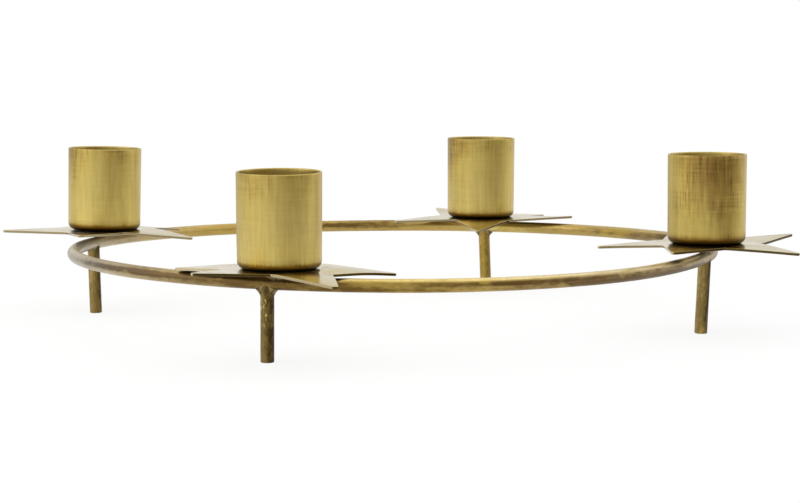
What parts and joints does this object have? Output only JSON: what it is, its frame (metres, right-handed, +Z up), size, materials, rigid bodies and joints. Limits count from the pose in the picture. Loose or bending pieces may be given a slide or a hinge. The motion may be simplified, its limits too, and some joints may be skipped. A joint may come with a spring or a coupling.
{
  "type": "advent candle holder",
  "caption": "Low round candle holder of brazed brass rod on short legs, with a flat star and a straight-sided cup at each quarter of the hoop.",
  "frame": {"origin": "on the floor under the centre of the hoop", "axes": "+Z up, -Y towards the front cup, +X towards the right cup"},
  "size_m": [0.2762, 0.2778, 0.0568],
  "materials": {
    "hoop_brass": "satin, lightly patinated round rod",
    "leg_brass": "satin, darker with heat and handling",
    "star_brass": "smooth burnished sheet with a dark edge",
    "cup_brass": "satin brushed, with brown patina",
    "braze": "rough, dark brazed metal",
    "rivet_brass": "satin domed head"
  },
  "bodies": {
    "root": {"hoop": "hoop_brass", "hoop_seam": "braze", "leg_front": "leg_brass", "leg_right": "leg_brass", "leg_rear": "leg_brass", "leg_left": "leg_brass", "leg_braze_front": "braze", "leg_braze_right": "braze", "leg_braze_rear": "braze", "leg_braze_left": "braze", "star_front": "star_brass", "star_right": "star_brass", "star_rear": "star_brass", "star_left": "star_brass", "star_braze_front": "braze", "star_braze_right": "braze", "star_braze_rear": "braze", "star_braze_left": "braze", "cup_front": "cup_brass", "cup_right": "cup_brass", "cup_rear": "cup_brass", "cup_left": "cup_brass", "cup_rivet_front": "rivet_brass", "cup_rivet_right": "rivet_brass", "cup_rivet_rear": "rivet_brass", "cup_rivet_left": "rivet_brass"}
  },
  "joints": []
}
